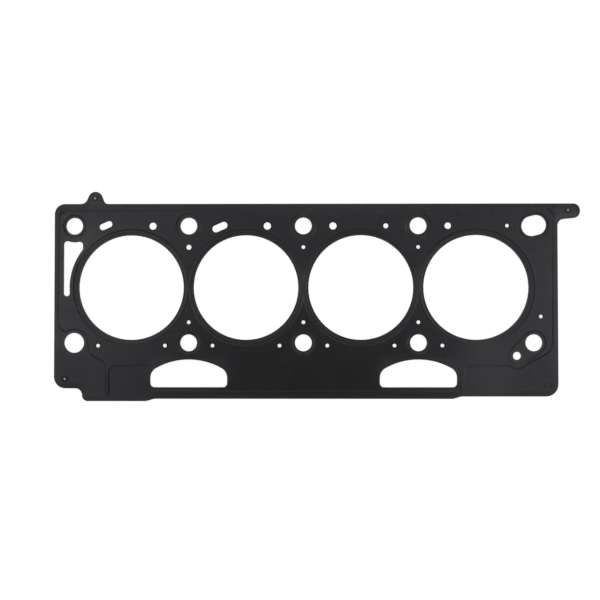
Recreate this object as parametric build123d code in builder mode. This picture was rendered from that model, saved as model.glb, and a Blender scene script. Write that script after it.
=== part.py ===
from build123d import *
import math
import os

os.makedirs("parts", exist_ok=True)

# Multi-layer steel cylinder head gasket for an in-line four-cylinder engine.
# Two embossed, coated spring-steel sheets with a plain carrier plate between
# them, a stopper ring welded to the carrier round each bore, and three small
# rivets that hold the stack together for handling.
#
# Frame: millimetres, +Z up, X along the row of bores, Y across the engine.
# The gasket lies flat on z = 0 and the origin is under the middle of its box.
# Plan dimensions below are from the drawing datum: the middle of the bore row.

# ---------------------------------------------------------------- thicknesses
T_SHEET = 0.25          # active (spring steel) sheet, with its coating
T_CARRIER = 0.70        # carrier plate
T_STOPPER = 0.10        # stopper ring on top of the carrier
H_BEAD = 0.25           # height of every bead before the gasket is clamped
W_SLOPE = 1.30          # width of a half bead's slope in plan
W_RIM, RIM_DROP = 4.0, 0.16   # the rim falls away a little to the cut edge

Z_CARRIER = T_SHEET + H_BEAD               # underside of the carrier
Z_UPPER = Z_CARRIER + T_CARRIER            # top of the carrier
Z_MID = Z_CARRIER + T_CARRIER / 2          # mirror plane of the stack

# -------------------------------------------------------------- bores, pitch
PITCH = 89.0                               # bore and bolt pitch
BORE_X = [-1.5 * PITCH, -0.5 * PITCH, 0.5 * PITCH, 1.5 * PITCH]
R_BORE = 40.65                             # active sheets
R_BORE_CARRIER = 40.55                     # the carrier stands in a little
R_STOPPER = 42.0                           # outer radius of a stopper ring
BEAD_IN, BEAD_CREST, BEAD_OUT = 41.6, 43.65, 45.7    # a low rounded arch

# ------------------------------------------------------------- head bolts
BOLT_X = [-2 * PITCH, -PITCH, 0.0, PITCH, 2 * PITCH]
BOLT_Y_TOP, BOLT_Y_LOW = 47.84, -42.92
R_BOLT = 6.5
R_DOWEL = 7.68                             # round dowel hole, bolt 1 low row
SLOT_R, SLOT_PITCH, SLOT_TILT = 7.70, 3.85, 14.3   # dowel slot, bolt 5 top row
SLOT_AT = (178.42, 47.85)
RING_TOP, RING_FIRST, RING_LOW, RING_SLOT = 9.8, 8.5, 8.4, 9.4

# -------------------------------------------------- coolant and oil passages
Y_ROW = 47.84
TOP_HOLES = [(-117.0, 2.77), (-28.0, 2.83), (23.0, 2.80), (64.0, 1.94),
             (112.0, 2.53)]
SLANT_SLOTS = [((-153.7, 48.32), 2.47, 5.40), ((-64.87, 47.05), 2.75, 6.76)]
SLANT_TILT = 23.4
Y_BRIDGE_TOP, Y_BRIDGE_LOW, Y_LOW_HOLES = 31.38, -26.98, -45.05
R_METER = 1.44                             # metering hole in the carrier
STEP_HOLE, STEP_METER = 0.22, 0.42         # the active sheets' holes are wider
METER_TOP = (157.8, 47.84)
LOW_HOLES_X = [-159.5, -107.5, -70.5, -18.5, 18.5, 70.5, 107.5]
SIDE_HOLE = (183.56, -22.57)
OIL_HOLE, R_OIL = (164.88, -53.02), 3.09

# ----------------------------------------------------------- return windows
WIN_X, WIN_HALF = 88.9, 29.80              # centre either side, half width
WIN_TOP, WIN_LOW = -55.85, -77.27
WIN_R_TOP, WIN_R_SHOULDER, WIN_R_FOOT = 52.0, 8.5, 3.2

# ------------------------------------------------------ tall coolant window
TALL_LEFT, TALL_RIGHT, TALL_CORNER, TALL_FOOT = -186.28, -181.72, -171.50, -6.60
TALL_ARC = 48.35                           # about the first bore
TALL_TOP_ARC = 12.62                       # about the first top bolt

# ---------------------------------------------------------- outline corners
OUTLINE = [
    ((-193.60, 65.20), 8.0), ((-193.60, -78.15), 9.0),
    ((-171.70, -78.15), 5.3), ((-171.70, -88.03), 4.4),
    ((-121.60, -88.03), 9.0), ((-115.60, -86.20), 9.0),
    ((115.90, -86.20), 8.0), ((121.60, -84.35), 8.0),
    ((196.75, -84.30), 9.5), ((196.75, 52.40), 5.0),
    ((214.15, 54.20), 5.2), ((214.15, 64.95), 5.2),
    ((-154.40, 65.20), 3.5), ((-161.55, 83.95), 5.6),
    ((-169.70, 65.20), 5.5),
]
X_MIN, X_MAX, Y_MIN, Y_MAX = -193.60, 214.15, -88.03, 74.72

# Mid line of the half bead that bounds the low coolant field. Inside it the
# active sheets lie on the carrier; outside it they stand off by H_BEAD.
FIELD = [
    ((-189.60, 59.90), 6.0), ((-190.80, 8.00), 60.0),
    ((-190.80, -31.20), 9.5), ((-184.35, -34.52), 1.2),
    ((-169.85, -25.46), 10.4), ((-166.20, -51.40), 7.0),
    ((-153.40, -58.20), 8.0), ((-153.40, -83.40), 1.1),
    ((-151.00, -83.40), 1.1), ((-151.00, -60.70), 5.5),
    ((-117.00, -60.30), 12.0), ((-88.90, -47.80), 54.6),
    ((-60.80, -60.30), 12.0), ((60.80, -60.30), 12.0),
    ((88.90, -47.80), 54.6), ((121.30, -62.35), 7.0),
    ((121.30, -80.40), 3.0), ((-117.50, -80.40), 3.0),
    ((-124.80, -82.30), 1.0), ((-124.00, -85.20), 1.0),
    ((-116.50, -83.30), 3.0), ((123.75, -83.20), 3.2),
    ((125.05, -60.40), 5.5), ((157.50, -60.70), 10.0),
    ((166.50, -63.30), 4.0), ((192.70, -48.50), 9.0),
    ((193.25, 61.70), 7.5), ((168.00, 61.70), 8.0),
    ((160.00, 59.80), 8.0), ((147.50, 59.80), 2.4),
    ((144.00, 56.80), 2.4), ((120.50, 56.80), 2.4),
    ((117.00, 59.80), 2.4), ((61.20, 59.80), 2.4),
    ((57.80, 56.80), 2.4), ((37.60, 56.80), 2.4),
    ((34.20, 59.80), 2.4), ((-18.40, 59.80), 2.4),
    ((-21.80, 56.80), 2.4), ((-49.20, 56.80), 2.4),
    ((-52.60, 59.80), 2.4),
]

# The land round the last low bolt and the oil hole: circles it is drawn round.
OIL_LAND = [((178.0, -42.92), 9.0), ((164.88, -53.02), 6.5), ((171.5, -54.0), 3.9)]

# ------------------------------------------------------------------- rivets
RIVETS = [(-162.30, 69.60), (204.90, 59.90), (-185.20, -70.90)]
R_SHANK, R_HEAD, H_DOME = 0.60, 0.82, 0.30
DIMPLE_TOP, DIMPLE_FLOOR = 2.60, 1.50      # the pressed seat under each head
TICKS = [(186.7, -75.6), (190.9, -75.6), (193.3, -75.6)]   # pressed lock marks
PIP = (-160.0, 59.60)                      # small pressed tooling pip

# ------------------------------------------------------------------ placing
OX, OY = -(X_MIN + X_MAX) / 2, -(Y_MIN + Y_MAX) / 2
deck = Plane(origin=(OX, OY, 0))           # the datum, on the floor plane


def fillet_loop(points):
    """A closed run of straight lines with a radius at each corner."""
    FilletPolyline(*[p for p, r in points], radius=[r for p, r in points], close=True)


def shifted(points, d):
    """The same loop with every side moved outwards by d and the corner radii
    grown or shrunk to match, so that both loops have the same sides."""
    n = len(points)
    xy = [p for p, r in points]
    area = sum(xy[i - 1][0] * xy[i][1] - xy[i][0] * xy[i - 1][1] for i in range(n))
    turn = 1 if area > 0 else -1
    out = []
    for i in range(n):
        (ax, ay), (bx, by), (cx, cy) = xy[i - 1], xy[i], xy[(i + 1) % n]
        la, lb = math.hypot(bx - ax, by - ay), math.hypot(cx - bx, cy - by)
        ux, uy, vx, vy = (bx - ax) / la, (by - ay) / la, (cx - bx) / lb, (cy - by) / lb
        cross = ux * vy - uy * vx
        # the outward normal of each side, and where the two moved sides meet
        nx, ny, mx, my = turn * uy, -turn * ux, turn * vy, -turn * vx
        k = d / (1 + nx * mx + ny * my)
        grow = d if cross * turn > 0 else -d
        out.append(((bx + k * (nx + mx), by + k * (ny + my)), points[i][1] + grow))
    return out


def passages(wide):
    """Every hole but the bores, cut in the sketch that is open. wide is 1 for
    an active sheet, whose coolant holes are wider, and 0 for the carrier."""
    step, meter_step = wide * STEP_HOLE, wide * STEP_METER
    with Locations(*[(x, BOLT_Y_TOP) for x in BOLT_X[:4]]):
        Circle(R_BOLT, mode=Mode.SUBTRACT)
    with Locations(*[(x, BOLT_Y_LOW) for x in BOLT_X[1:]]):
        Circle(R_BOLT, mode=Mode.SUBTRACT)
    with Locations((BOLT_X[0], BOLT_Y_LOW)):
        Circle(R_DOWEL, mode=Mode.SUBTRACT)
    with Locations(SLOT_AT):
        SlotCenterToCenter(SLOT_PITCH, 2 * SLOT_R, rotation=SLOT_TILT, mode=Mode.SUBTRACT)
    for x, r in TOP_HOLES:
        with Locations((x, Y_ROW)):
            Circle(r + step, mode=Mode.SUBTRACT)
    for at, r, pitch in SLANT_SLOTS:
        with Locations(at):
            SlotCenterToCenter(pitch, 2 * (r + step), rotation=SLANT_TILT, mode=Mode.SUBTRACT)
    with Locations((-PITCH, Y_BRIDGE_TOP)):
        Circle(1.94 + step, mode=Mode.SUBTRACT)
    with Locations((0, Y_BRIDGE_TOP), (PITCH, Y_BRIDGE_TOP),
                   (-PITCH, Y_BRIDGE_LOW), (0, Y_BRIDGE_LOW), (PITCH, Y_BRIDGE_LOW),
                   SIDE_HOLE, METER_TOP, *[(x, Y_LOW_HOLES) for x in LOW_HOLES_X]):
        Circle(R_METER + meter_step, mode=Mode.SUBTRACT)
    with Locations(OIL_HOLE):
        Circle(R_OIL, mode=Mode.SUBTRACT)
    with Locations(*RIVETS):
        Circle(R_SHANK, mode=Mode.SUBTRACT)


# ---------------------------------------------------- shaped windows, in plan
# Return window: flat foot, upright sides, shoulders tangent to one long arch.
shoulder_x = WIN_HALF - WIN_R_SHOULDER
shoulder_y = WIN_TOP - WIN_R_TOP + math.sqrt((WIN_R_TOP - WIN_R_SHOULDER) ** 2 - shoulder_x ** 2)
reach = WIN_R_TOP / (WIN_R_TOP - WIN_R_SHOULDER)
touch_x = shoulder_x * reach
touch_y = WIN_TOP - WIN_R_TOP + (shoulder_y - WIN_TOP + WIN_R_TOP) * reach
mid_a = math.atan2(touch_y - shoulder_y, touch_x - shoulder_x) / 2
mid_x = shoulder_x + WIN_R_SHOULDER * math.cos(mid_a)
mid_y = shoulder_y + WIN_R_SHOULDER * math.sin(mid_a)
foot = WIN_R_FOOT * (1 - math.sqrt(0.5))
with BuildSketch() as return_window:
    with BuildLine():
        ThreePointArc((-touch_x, touch_y), (0, WIN_TOP), (touch_x, touch_y))
        ThreePointArc((touch_x, touch_y), (mid_x, mid_y), (WIN_HALF, shoulder_y))
        Line((WIN_HALF, shoulder_y), (WIN_HALF, WIN_LOW + WIN_R_FOOT))
        ThreePointArc((WIN_HALF, WIN_LOW + WIN_R_FOOT),
                      (WIN_HALF - foot, WIN_LOW + foot), (WIN_HALF - WIN_R_FOOT, WIN_LOW))
        Line((WIN_HALF - WIN_R_FOOT, WIN_LOW), (-WIN_HALF + WIN_R_FOOT, WIN_LOW))
        ThreePointArc((-WIN_HALF + WIN_R_FOOT, WIN_LOW),
                      (-WIN_HALF + foot, WIN_LOW + foot), (-WIN_HALF, WIN_LOW + WIN_R_FOOT))
        Line((-WIN_HALF, WIN_LOW + WIN_R_FOOT), (-WIN_HALF, shoulder_y))
        ThreePointArc((-WIN_HALF, shoulder_y), (-mid_x, mid_y), (-touch_x, touch_y))
    make_face()

# Tall coolant window: upright outer side, rounded foot, inner side an arc
# about the first bore, top scooped about the first bolt.
tall_w, tall_h = TALL_CORNER - TALL_LEFT, 45.0 - TALL_FOOT
with BuildSketch() as tall_window:
    with Locations((TALL_LEFT + tall_w / 2, TALL_FOOT + tall_h / 2)):
        Rectangle(tall_w, tall_h)
    with Locations((BORE_X[0], 0)):
        Circle(TALL_ARC, mode=Mode.SUBTRACT)
    with Locations((TALL_RIGHT + 10.0, TALL_FOOT + 4.0)):
        Rectangle(20.0, 10.0, mode=Mode.SUBTRACT)
    with Locations((BOLT_X[0], BOLT_Y_TOP)):
        Circle(TALL_TOP_ARC, mode=Mode.SUBTRACT)
    corners = tall_window.vertices().sort_by(Axis.Y)
    fillet(corners[:2], radius=2.15)
    fillet(tall_window.vertices().sort_by(Axis.Y)[-2:], radius=2.7)

# ------------------------------------------------------------- flat blanks
# The active sheets share one blank; the carrier's has the true metering holes.
with BuildSketch(deck) as active_blank:
    with BuildLine():
        fillet_loop(OUTLINE)
    make_face()
    with Locations(*[(x, 0) for x in BORE_X]):
        Circle(R_BORE, mode=Mode.SUBTRACT)
    passages(1)
    with Locations((-WIN_X, 0), (WIN_X, 0)):
        add(return_window.sketch, mode=Mode.SUBTRACT)
    add(tall_window.sketch, mode=Mode.SUBTRACT)

with BuildSketch(deck.offset(Z_CARRIER)) as carrier_blank:
    with BuildLine():
        fillet_loop(OUTLINE)
    make_face()
    with Locations(*[(x, 0) for x in BORE_X]):
        Circle(R_BORE_CARRIER, mode=Mode.SUBTRACT)
    passages(0)
    with Locations((-WIN_X, 0), (WIN_X, 0)):
        add(return_window.sketch, mode=Mode.SUBTRACT)
    add(tall_window.sketch, mode=Mode.SUBTRACT)

# ------------------------------------------------------------ carrier plate
with BuildPart() as carrier_layer:
    add(carrier_blank.sketch)
    extrude(amount=T_CARRIER)
carrier_layer.part.label = "carrier_layer"
export_step(carrier_layer.part, "parts/carrier_layer.step")

# ------------------------------------------------------------ stopper rings
# One flat ring round each bore, welded to the carrier inboard of the bead.
with BuildPart() as stopper_ring_1:
    with BuildSketch(deck.offset(Z_UPPER)):
        with Locations((BORE_X[0], 0)):
            Circle(R_STOPPER)
            Circle(R_BORE_CARRIER, mode=Mode.SUBTRACT)
    extrude(amount=T_STOPPER)
stopper_ring_1.part.label = "stopper_ring_1"
export_step(stopper_ring_1.part, "parts/stopper_ring_1.step")

with BuildPart() as stopper_ring_2:
    with BuildSketch(deck.offset(Z_UPPER)):
        with Locations((BORE_X[1], 0)):
            Circle(R_STOPPER)
            Circle(R_BORE_CARRIER, mode=Mode.SUBTRACT)
    extrude(amount=T_STOPPER)
stopper_ring_2.part.label = "stopper_ring_2"
export_step(stopper_ring_2.part, "parts/stopper_ring_2.step")

with BuildPart() as stopper_ring_3:
    with BuildSketch(deck.offset(Z_UPPER)):
        with Locations((BORE_X[2], 0)):
            Circle(R_STOPPER)
            Circle(R_BORE_CARRIER, mode=Mode.SUBTRACT)
    extrude(amount=T_STOPPER)
stopper_ring_3.part.label = "stopper_ring_3"
export_step(stopper_ring_3.part, "parts/stopper_ring_3.step")

with BuildPart() as stopper_ring_4:
    with BuildSketch(deck.offset(Z_UPPER)):
        with Locations((BORE_X[3], 0)):
            Circle(R_STOPPER)
            Circle(R_BORE_CARRIER, mode=Mode.SUBTRACT)
    extrude(amount=T_STOPPER)
stopper_ring_4.part.label = "stopper_ring_4"
export_step(stopper_ring_4.part, "parts/stopper_ring_4.step")

# ------------------------------------------------- the embossed press form
# A block whose upper face is the underside of an active sheet on top of the
# carrier: low in the coolant field, high on the rim, round the bolts, round
# the return windows, and along the full bead that rings each bore.
slope = math.degrees(math.atan(W_SLOPE / H_BEAD))
half = W_SLOPE / 2
with BuildPart() as press_form:
    with BuildSketch(deck.offset(Z_UPPER - 2.0)):
        with Locations((10.0, -7.0)):
            Rectangle(460.0, 220.0)
    extrude(amount=2.0 + H_BEAD - RIM_DROP)
    # the raised plateau, falling a little towards the outline
    with BuildSketch(deck.offset(Z_UPPER + H_BEAD - RIM_DROP)):
        with BuildLine():
            fillet_loop(OUTLINE)
        make_face()
    with BuildSketch(deck.offset(Z_UPPER + H_BEAD)):
        with BuildLine():
            fillet_loop(shifted(OUTLINE, -W_RIM))
        make_face()
    loft(ruled=True)
    # the low field, its wall a slope between two loops
    with BuildSketch(deck.offset(Z_UPPER)):
        with BuildLine():
            fillet_loop(shifted(FIELD, -half))
        make_face()
    with BuildSketch(deck.offset(Z_UPPER + H_BEAD)):
        with BuildLine():
            fillet_loop(shifted(FIELD, half))
        make_face()
    loft(ruled=True, mode=Mode.SUBTRACT)
    # raised lands round the bolts
    with BuildSketch(deck.offset(Z_UPPER)):
        with Locations((BOLT_X[0], BOLT_Y_TOP)):
            Circle(RING_FIRST + half)
        with Locations(*[(x, BOLT_Y_TOP) for x in BOLT_X[1:4]]):
            Circle(RING_TOP + half)
        with Locations(*[(x, BOLT_Y_LOW) for x in BOLT_X[1:4]]):
            Circle(RING_LOW + half)
    extrude(amount=H_BEAD, taper=slope)
    for z, r in ((0, half), (H_BEAD, -half)):
        with BuildSketch(deck.offset(Z_UPPER + z)):
            with Locations(SLOT_AT):
                SlotCenterToCenter(SLOT_PITCH, 2 * (RING_SLOT + r), rotation=SLOT_TILT)
    loft(ruled=True)
    # one raised land round the last low bolt and the oil hole beside it
    for z, r in ((0, half), (H_BEAD, -half)):
        with BuildSketch(deck.offset(Z_UPPER + z)):
            for at, radius in OIL_LAND:
                with Locations(at):
                    Circle(radius + r)
            make_hull()
    loft(ruled=True)
    # full bead round each bore
    for x in BORE_X:
        with BuildSketch(Plane(origin=(OX + x, OY, Z_UPPER), z_dir=(0, -1, 0), x_dir=(1, 0, 0))):
            with BuildLine():
                ThreePointArc((BEAD_IN, 0), (BEAD_CREST, H_BEAD), (BEAD_OUT, 0))
                Polyline((BEAD_OUT, 0), (BEAD_OUT, -0.5), (BEAD_IN, -0.5), (BEAD_IN, 0))
            make_face()
        revolve(axis=Axis((OX + x, OY, 0), (0, 0, 1)))
    # seats pressed down to the carrier under the rivet heads, lock marks, pip
    with BuildSketch(deck.offset(Z_UPPER + H_BEAD)):
        with Locations(*RIVETS):
            Circle(DIMPLE_TOP)
    extrude(amount=-H_BEAD, taper=math.degrees(math.atan((DIMPLE_TOP - DIMPLE_FLOOR) / H_BEAD)),
            mode=Mode.SUBTRACT)
    with BuildSketch(deck.offset(Z_UPPER + H_BEAD)):
        with Locations(*TICKS):
            SlotOverall(4.4, 1.30, rotation=90)
        with Locations(PIP):
            Circle(0.85)
    extrude(amount=-0.16, taper=66, mode=Mode.SUBTRACT)

print("press form", press_form.part.is_valid, press_form.part.volume)

# ----------------------------------------------------------- lower sheet
# The same pressing turned over: built above the carrier, then mirrored.
with BuildPart() as pressing:
    add(active_blank.sketch)
    extrude(amount=Z_UPPER + 2.0)
    with Locations((0, 0, T_SHEET)):
        add(press_form.part, mode=Mode.INTERSECT)
    add(press_form.part, mode=Mode.SUBTRACT)
print("pressing", pressing.part.is_valid, pressing.part.volume, len(pressing.part.solids()))

with BuildPart() as lower_active_layer:
    mirror(pressing.part, about=Plane.XY.offset(Z_MID))
lower_active_layer.part.label = "lower_active_layer"
export_step(lower_active_layer.part, "parts/lower_active_layer.step")

# ----------------------------------------------------------- upper sheet
# Its flange inboard of each bead rests on the stopper ring, so the form is
# built up there by the ring's thickness before the sheet is pressed.
with BuildPart() as upper_form:
    add(press_form.part)
    with BuildSketch(deck.offset(Z_UPPER - 0.5)):
        with Locations(*[(x, 0) for x in BORE_X]):
            Circle(R_STOPPER + 0.62)
    extrude(amount=0.5 + T_STOPPER)
with BuildPart() as upper_active_layer:
    add(active_blank.sketch)
    extrude(amount=Z_UPPER + 2.0)
    with Locations((0, 0, T_SHEET)):
        add(upper_form.part, mode=Mode.INTERSECT)
    add(upper_form.part, mode=Mode.SUBTRACT)
upper_active_layer.part.label = "upper_active_layer"
export_step(upper_active_layer.part, "parts/upper_active_layer.step")
print("upper", upper_active_layer.part.is_valid, upper_active_layer.part.volume)

# ----------------------------------------------------------------- rivets
# A shank through all three layers, a low domed head above and a flat head
# below that stays inside the pressed seat.
z_seat_low, z_seat_high = Z_CARRIER - T_SHEET, Z_UPPER + T_SHEET
rise = H_DOME
r_dome = (R_HEAD ** 2 + rise ** 2) / (2 * rise)
with BuildPart() as rivets:
    for x, y in RIVETS:
        with BuildSketch(Plane(origin=(OX + x, OY + y, 0), z_dir=(0, -1, 0), x_dir=(1, 0, 0))):
            with BuildLine():
                Line((0, z_seat_low - 0.22), (R_HEAD - 0.10, z_seat_low - 0.22))
                Line((R_HEAD - 0.10, z_seat_low - 0.22), (R_HEAD, z_seat_low - 0.12))
                Line((R_HEAD, z_seat_low - 0.12), (R_HEAD, z_seat_low))
                Line((R_HEAD, z_seat_low), (R_SHANK, z_seat_low))
                Line((R_SHANK, z_seat_low), (R_SHANK, z_seat_high))
                Line((R_SHANK, z_seat_high), (R_HEAD, z_seat_high))
                ThreePointArc((R_HEAD, z_seat_high),
                              (R_HEAD / 2, z_seat_high + rise - r_dome + math.sqrt(r_dome ** 2 - R_HEAD ** 2 / 4)),
                              (0, z_seat_high + rise))
                Line((0, z_seat_high + rise), (0, z_seat_low - 0.22))
            make_face()
        revolve(axis=Axis((OX + x, OY + y, 0), (0, 0, 1)))
rivets.part.label = "rivets"
export_step(rivets.part, "parts/rivets.step")

for piece in (upper_active_layer, carrier_layer, lower_active_layer, stopper_ring_1,
              stopper_ring_2, stopper_ring_3, stopper_ring_4, rivets):
    p = piece.part
    print(f"{p.label:20s} solids {len(p.solids())} volume {p.volume:9.1f} mm3 valid {p.is_valid}")
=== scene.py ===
import math

import bpy
from mathutils import Euler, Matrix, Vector

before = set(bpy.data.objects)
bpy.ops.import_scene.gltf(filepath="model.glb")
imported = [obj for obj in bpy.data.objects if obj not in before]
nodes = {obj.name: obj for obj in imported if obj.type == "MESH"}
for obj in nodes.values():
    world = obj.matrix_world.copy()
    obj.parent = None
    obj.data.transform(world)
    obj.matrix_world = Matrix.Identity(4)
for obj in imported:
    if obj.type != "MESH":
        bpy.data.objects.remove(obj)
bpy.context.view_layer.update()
scene = bpy.context.scene


# ---------------------------------------------------------------- node helper
class Graph:
    """A short way to write node trees: every call makes one node."""

    def __init__(self, tree):
        self.tree = tree
        tree.nodes.clear()

    def new(self, kind):
        return self.tree.nodes.new(kind)

    def link(self, a, b):
        self.tree.links.new(a, b)

    def put(self, socket, value):
        if isinstance(value, bpy.types.NodeSocket):
            self.link(value, socket)
        elif hasattr(value, "__len__") and len(socket.default_value) == 4:
            socket.default_value = (value[0], value[1], value[2], 1.0)
        else:
            socket.default_value = value

    def math(self, op, a, b=0.0, clamp=False):
        n = self.new("ShaderNodeMath")
        n.operation = op
        n.use_clamp = clamp
        self.put(n.inputs[0], a)
        self.put(n.inputs[1], b)
        return n.outputs[0]

    def vec(self, op, a, b=(0.0, 0.0, 0.0)):
        n = self.new("ShaderNodeVectorMath")
        n.operation = op
        self.put(n.inputs[0], a)
        self.put(n.inputs[1], b)
        return n.outputs["Value" if op in ("DISTANCE", "LENGTH") else "Vector"]

    def scaled(self, vector, factors):
        n = self.new("ShaderNodeMapping")
        self.link(vector, n.inputs["Vector"])
        n.inputs["Scale"].default_value = factors
        return n.outputs["Vector"]

    def noise(self, vector, scale, detail=2.0, rough=0.5):
        n = self.new("ShaderNodeTexNoise")
        self.link(vector, n.inputs["Vector"])
        n.inputs["Scale"].default_value = scale
        n.inputs["Detail"].default_value = detail
        n.inputs["Roughness"].default_value = rough
        return n.outputs["Fac"]

    def ramp(self, fac, stops):
        n = self.new("ShaderNodeValToRGB")
        e = n.color_ramp.elements
        while len(e) < len(stops):
            e.new(0.5)
        for el, (pos, col) in zip(e, stops):
            el.position = pos
            el.color = (col[0], col[1], col[2], 1.0)
        self.link(fac, n.inputs["Fac"])
        return n.outputs["Color"]

    def span(self, value, a, b, c, d):
        n = self.new("ShaderNodeMapRange")
        self.link(value, n.inputs["Value"])
        for name, v in (("From Min", a), ("From Max", b), ("To Min", c), ("To Max", d)):
            n.inputs[name].default_value = v
        return n.outputs["Result"]

    def mix(self, fac, a, b):
        n = self.new("ShaderNodeMix")
        n.data_type = "RGBA"
        self.put(n.inputs[0], fac)
        self.put(n.inputs[6], a)
        self.put(n.inputs[7], b)
        return n.outputs[2]

    def bump(self, height, strength, distance, normal=None):
        n = self.new("ShaderNodeBump")
        n.inputs["Strength"].default_value = strength
        n.inputs["Distance"].default_value = distance
        self.link(height, n.inputs["Height"])
        if normal is not None:
            self.link(normal, n.inputs["Normal"])
        return n.outputs["Normal"]

    def coords(self):
        return self.new("ShaderNodeTexCoord").outputs["Object"]


def material(name):
    m = bpy.data.materials.new(name)
    m.use_nodes = True
    return m, Graph(m.node_tree)


# ------------------------------------------------------------------ materials
COAT_DARK = (0.0125, 0.0121, 0.0133)
COAT_LIGHT = (0.0154, 0.0149, 0.0164)
COAT_MOTTLE = (0.0105, 0.0102, 0.0112)
COAT_ROUGH = 0.24
# painted glow: paleness added right at every cut and further out, standing in for glare round the
# bright openings
CUT_PAINTED_GLOW = (0.0146, 0.0088)
EDGE_STEEL = 0.15
# Where the coat is drawn a little paler or darker, partly uneven coat and partly painted sheen and
# shade: x, y, half width, half height, tone.
COAT_TONE_AND_SHEEN_PATCHES = [(139.5, -65.0, 38, 60, 0.030), (32.0, 64.0, 130, 12, 0.016),
           (-168.0, 34.0, 30, 30, 0.018), (188.0, -62.0, 22, 34, -0.009),
           (-181.0, -60.0, 28, 34, -0.010), (0.0, 0.0, 6, 28, 0.020),
           (89.0, 0.0, 6, 28, 0.014)]
COAT_TINT = (0.953, 0.922, 1.0)


# Where the coat was cut through, in millimetres from the middle of the bores:
# the large round holes, the windows as round-cornered boxes, and the outline.
DATUM = (-10.275, 6.655)
ROUND = [(-133.5, 0, 40.65), (-44.5, 0, 40.65), (44.5, 0, 40.65), (133.5, 0, 40.65),
         (-178, 47.84, 6.5), (-89, 47.84, 6.5), (0, 47.84, 6.5), (89, 47.84, 6.5),
         (176.55, 47.37, 7.7), (180.28, 48.33, 7.7),
         (-178, -42.92, 7.68), (-89, -42.92, 6.5), (0, -42.92, 6.5), (89, -42.92, 6.5),
         (178, -42.92, 6.5), (164.88, -53.02, 3.09)]
BOXED = [(-88.9, -66.56, 29.8, 10.71, 8.5), (88.9, -66.56, 29.8, 10.71, 8.5),
         (-184.0, 14.4, 2.28, 21.0, 2.2), (-179.2, 30.4, 6.5, 5.0, 2.6)]
OUTER = (-193.6, 196.75, -87.0, 65.2)


def cut_distance(g, co):
    """Distance in plan to the nearest of those cuts, in metres."""
    mid = 0.0012
    parts = []
    for x, y, r in ROUND:
        at = ((x + DATUM[0]) / 1000, (y + DATUM[1]) / 1000, mid)
        parts.append(g.math("SUBTRACT", g.vec("DISTANCE", co, at), r / 1000))
    for x, y, hx, hy, r in BOXED:
        at = ((x + DATUM[0]) / 1000, (y + DATUM[1]) / 1000, mid)
        away = g.vec("ABSOLUTE", g.vec("SUBTRACT", co, at))
        over = g.vec("SUBTRACT", away, ((hx - r) / 1000, (hy - r) / 1000, 0.01))
        parts.append(g.math("SUBTRACT", g.vec("LENGTH", g.vec("MAXIMUM", over)), r / 1000))
    sep = g.new("ShaderNodeSeparateXYZ")
    g.link(co, sep.inputs[0])
    x0, x1, y0, y1 = OUTER
    parts.append(g.math("SUBTRACT", sep.outputs["X"], (x0 + DATUM[0]) / 1000))
    parts.append(g.math("SUBTRACT", (x1 + DATUM[0]) / 1000, sep.outputs["X"]))
    parts.append(g.math("SUBTRACT", sep.outputs["Y"], (y0 + DATUM[1]) / 1000))
    parts.append(g.math("SUBTRACT", (y1 + DATUM[1]) / 1000, sep.outputs["Y"]))
    near = parts[0]
    for d in parts[1:]:
        near = g.math("MINIMUM", near, d)
    return g.math("MAXIMUM", near, 0.0)


def fades(g, distance, reach):
    """1 at the cut, falling off exponentially over the reach in metres."""
    return g.math("EXPONENT", g.math("MULTIPLY", distance, -1.0 / reach))


def steel_shader(g, co, tone, rough):
    """Bare cold-rolled steel: fine rolling lines along X and a faint stain."""
    lines = g.noise(g.scaled(co, (60, 5200, 5200)), 1.0, 3.0, 0.6)
    stain = g.noise(co, 55.0, 3.0, 0.55)
    tint = g.ramp(stain, [(0.30, (tone * 0.84, tone * 0.82, tone * 0.79)),
                          (0.72, (tone * 1.06, tone * 1.05, tone * 1.03))])
    colour = g.mix(g.span(lines, 0.35, 0.65, 0.0, 0.35), tint,
                   (tone * 0.70, tone * 0.68, tone * 0.66))
    p = g.new("ShaderNodeBsdfPrincipled")
    g.link(colour, p.inputs["Base Color"])
    p.inputs["Metallic"].default_value = 1.0
    g.link(g.span(lines, 0.3, 0.7, rough - 0.05, rough + 0.10), p.inputs["Roughness"])
    g.link(g.bump(lines, 0.25, 0.00002), p.inputs["Normal"])
    return p


def painted_shade_shader(g, co, tone):
    """Dark matt steel, drawn as painted shade on the cut walls inside the small holes."""
    p = g.new("ShaderNodeBsdfPrincipled")
    g.link(g.ramp(g.noise(co, 900.0, 2.0, 0.6),
                  [(0.3, (tone * 0.7, tone * 0.7, tone * 0.75)),
                   (0.7, (tone * 1.2, tone * 1.2, tone * 1.25))]), p.inputs["Base Color"])
    p.inputs["Roughness"].default_value = 0.75
    p.inputs["Specular IOR Level"].default_value = 0.05
    return p


def mixed(g, fac, a, b):
    n = g.new("ShaderNodeMixShader")
    g.link(fac, n.inputs["Fac"])
    g.link(a, n.inputs[1])
    g.link(b, n.inputs[2])
    return n.outputs["Shader"]


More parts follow.
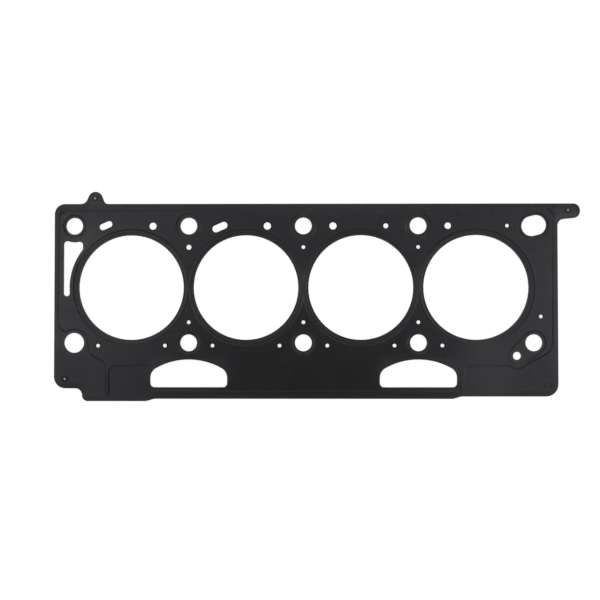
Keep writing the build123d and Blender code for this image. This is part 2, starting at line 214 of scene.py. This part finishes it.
def coat_material():
    """Satin black elastomer coat on spring steel; the blanked edges are bare on the large cuts and
    drawn near black, as painted shade, in the small holes.
    """
    m, g = material("coated_sheet")
    out = g.new("ShaderNodeOutputMaterial")
    co = g.coords()
    # broad clouds of thickness, a finer mottle, roller lines and a fine grain
    cloud = g.noise(co, 14.0, 2.0, 0.5)
    mottle = g.noise(co, 120.0, 4.0, 0.6)
    roller = g.noise(g.scaled(co, (8.0, 900.0, 8.0)), 1.0, 2.0, 0.5)
    grain = g.noise(co, 3200.0, 2.0, 0.6)
    base = g.ramp(cloud, [(0.32, COAT_DARK), (0.70, COAT_LIGHT)])
    base = g.mix(g.span(mottle, 0.35, 0.70, 0.0, 0.35), base, COAT_MOTTLE)
    # painted glow: the coat is drawn paler towards every cut, standing in for glare round the bright
    # openings;
    # a few broad patches are drawn paler or darker, partly uneven coat and partly painted sheen and
    # shade
    cut = cut_distance(g, co)
    glow_and_tone = g.math("ADD", g.math("MULTIPLY", fades(g, cut, 0.0019), CUT_PAINTED_GLOW[0]),
                  g.math("MULTIPLY", fades(g, cut, 0.0050), CUT_PAINTED_GLOW[1]))
    for x, y, wide, high, tone in COAT_TONE_AND_SHEEN_PATCHES:
        m_ = g.new("ShaderNodeMapping")
        m_.vector_type = "TEXTURE"
        m_.inputs["Location"].default_value = ((x + DATUM[0]) / 1000, (y + DATUM[1]) / 1000, 0.0012)
        m_.inputs["Scale"].default_value = (wide / 1000, high / 1000, 1.0)
        g.link(co, m_.inputs["Vector"])
        spot = g.new("ShaderNodeTexGradient")
        spot.gradient_type = "SPHERICAL"
        g.link(m_.outputs["Vector"], spot.inputs["Vector"])
        soft = g.new("ShaderNodeMapRange")
        soft.interpolation_type = "SMOOTHERSTEP"
        g.link(spot.outputs["Fac"], soft.inputs["Value"])
        glow_and_tone = g.math("ADD", glow_and_tone, g.math("MULTIPLY", soft.outputs["Result"], tone))
    glow_and_tone_tint = g.new("ShaderNodeVectorMath")
    glow_and_tone_tint.operation = "SCALE"
    glow_and_tone_tint.inputs[0].default_value = (0.98, 0.96, 1.0)
    g.link(glow_and_tone, glow_and_tone_tint.inputs["Scale"])
    base = g.vec("ADD", base, glow_and_tone_tint.outputs["Vector"])
    p = g.new("ShaderNodeBsdfPrincipled")
    g.link(base, p.inputs["Base Color"])
    rough = g.math("ADD", g.span(mottle, 0.3, 0.7, COAT_ROUGH - 0.020, COAT_ROUGH + 0.020),
                   g.math("ADD", g.span(grain, 0.3, 0.7, -0.015, 0.015),
                          g.span(roller, 0.3, 0.7, -0.010, 0.010)))
    g.link(rough, p.inputs["Roughness"])
    p.inputs["IOR"].default_value = 1.5
    p.inputs["Specular Tint"].default_value = (COAT_TINT[0], COAT_TINT[1], COAT_TINT[2], 1.0)
    peel = g.bump(mottle, 0.06, 0.00020)
    g.link(g.bump(grain, 0.16, 0.00002, peel), p.inputs["Normal"])
    # the cut edge of the sheet, where its side is upright
    sep = g.new("ShaderNodeSeparateXYZ")
    g.link(g.new("ShaderNodeNewGeometry").outputs["True Normal"], sep.inputs[0])
    edge = g.span(g.math("ABSOLUTE", sep.outputs["Z"]), 0.45, 0.65, 1.0, 0.0)
    # is bare on the large cuts and drawn near black inside the small holes, as painted shade
    bare = steel_shader(g, co, EDGE_STEEL, 0.40).outputs["BSDF"]
    painted_shade = painted_shade_shader(g, co, 0.018).outputs["BSDF"]
    side = mixed(g, g.span(cut, 0.0003, 0.0010, 0.0, 1.0), bare, painted_shade)
    g.link(mixed(g, edge, p.outputs["BSDF"], side), out.inputs["Surface"])
    return m


def carrier_material():
    """Plate drawn dark as painted shade, with bare steel only on its large cuts."""
    m, g = material("carrier_steel")
    out = g.new("ShaderNodeOutputMaterial")
    co = g.coords()
    bare = steel_shader(g, co, EDGE_STEEL, 0.40).outputs["BSDF"]
    painted_shade = painted_shade_shader(g, co, 0.016).outputs["BSDF"]
    g.link(mixed(g, g.span(cut_distance(g, co), 0.0003, 0.0010, 0.0, 1.0), bare, painted_shade),
           out.inputs["Surface"])
    return m


def steel_material(name, tone, rough):
    m, g = material(name)
    out = g.new("ShaderNodeOutputMaterial")
    g.link(steel_shader(g, g.coords(), tone, rough).outputs["BSDF"], out.inputs["Surface"])
    return m


coat = coat_material()
finishes = {"upper_active_layer": coat, "lower_active_layer": coat,
            "carrier_layer": carrier_material(),
            "rivets": steel_material("rivet_steel", 0.80, 0.20)}
stopper = steel_material("stopper_steel", 0.30, 0.34)
for i in range(1, 5):
    finishes[f"stopper_ring_{i}"] = stopper
for name, mat in finishes.items():
    nodes[name].data.materials.clear()
    nodes[name].data.materials.append(mat)

# ---------------------------------------------------------------------- floor
bpy.ops.mesh.primitive_plane_add(size=24.0, location=(0, 0, -0.00005))
floor = bpy.context.object
floor.name = "floor"
fm, g = material("floor_paper")
out = g.new("ShaderNodeOutputMaterial")
p = g.new("ShaderNodeBsdfPrincipled")
p.inputs["Base Color"].default_value = (0.86, 0.86, 0.86, 1)
p.inputs["Roughness"].default_value = 0.9
p.inputs["Specular IOR Level"].default_value = 0.1
p.inputs["Emission Color"].default_value = (1, 1, 1, 1)
p.inputs["Emission Strength"].default_value = 0.75
g.link(p.outputs["BSDF"], out.inputs["Surface"])
floor.data.materials.append(fm)

# ---------------------------------------------------------------------- light
# A ring of broad soft lights above the part, each a disk aimed at its middle:
# azimuth from +X towards +Y and angle from straight up, the disk's angular
# width, all in degrees, and its radiance. Straight up stays dark, as where
# the camera stands. The walls round the studio are the world.
STUDIO = [
    (60, 9, 13, 0.55),
    (120, 9, 13, 0.46),
    (0, 18, 14, 1.34),
    (36, 18, 14, 0.45),
    (144, 18, 14, 0.85),
    (180, 18, 14, 1.19),
    (216, 18, 14, 0.12),
    (252, 18, 14, 0.54),
    (288, 18, 14, 0.27),
    (324, 18, 14, 0.54),
    (30, 27, 15, 0.16),
    (60, 27, 15, 0.38),
    (120, 27, 15, 0.16),
    (180, 27, 15, 0.14),
    (210, 27, 15, 0.50),
    (240, 27, 15, 0.75),
    (270, 27, 15, 0.12),
    (300, 27, 15, 0.86),
    (330, 27, 15, 0.11),
    (0, 37, 16, 0.28),
    (30, 37, 16, 0.16),
    (90, 37, 16, 1.83),
    (120, 37, 16, 0.21),
    (150, 37, 16, 0.28),
    (210, 37, 16, 0.32),
    (300, 37, 16, 0.44),
    (330, 37, 16, 0.42),
]
WALLS = [(0.0, 0.60), (0.40, 0.40), (0.62, 0.12), (0.80, 0.08)]   # by height
DISTANCE = 3.0

world = bpy.data.worlds.new("studio")
scene.world = world
world.use_nodes = True
g = Graph(world.node_tree)
sep = g.new("ShaderNodeSeparateXYZ")
g.link(g.new("ShaderNodeTexCoord").outputs["Generated"], sep.inputs[0])
bg = g.new("ShaderNodeBackground")
g.link(g.ramp(sep.outputs["Z"], [(z, (v, v, v)) for z, v in WALLS]), bg.inputs["Color"])
bg.inputs["Strength"].default_value = 1.0
wo = g.new("ShaderNodeOutputWorld")
g.link(bg.outputs["Background"], wo.inputs["Surface"])

for azimuth, zenith, width, radiance in STUDIO:
    name = f"soft_{azimuth}_{zenith}"
    data = bpy.data.lights.new(name, "AREA")
    data.shape = "DISK"
    data.size = 2 * DISTANCE * math.tan(math.radians(width / 2))
    data.energy = radiance * math.pi * math.pi * (data.size / 2) ** 2
    lamp = bpy.data.objects.new(name, data)
    scene.collection.objects.link(lamp)
    a, z = math.radians(azimuth), math.radians(zenith)
    d = Vector((math.sin(z) * math.cos(a), math.sin(z) * math.sin(a), math.cos(z)))
    lamp.location = d * DISTANCE
    lamp.rotation_mode = "QUATERNION"
    lamp.rotation_quaternion = d.to_track_quat("Z", "Y")

# --------------------------------------------------------------------- camera
cam_data = bpy.data.cameras.new("camera")
cam_data.sensor_width = 36.0
cam_data.lens = 70.0
cam = bpy.data.objects.new("camera", cam_data)
scene.collection.objects.link(cam)
cam.location = (0.00012, -0.02865, 0.90532)
cam.rotation_euler = Euler((math.radians(1.6206), math.radians(0.8247), math.radians(-0.0158)), "XYZ")
cam_data.clip_start, cam_data.clip_end = 0.01, 100.0
scene.camera = cam

scene.view_settings.view_transform = "Standard"
scene.view_settings.look = "None"
scene.view_settings.exposure = 0.0
scene.view_settings.gamma = 1.0
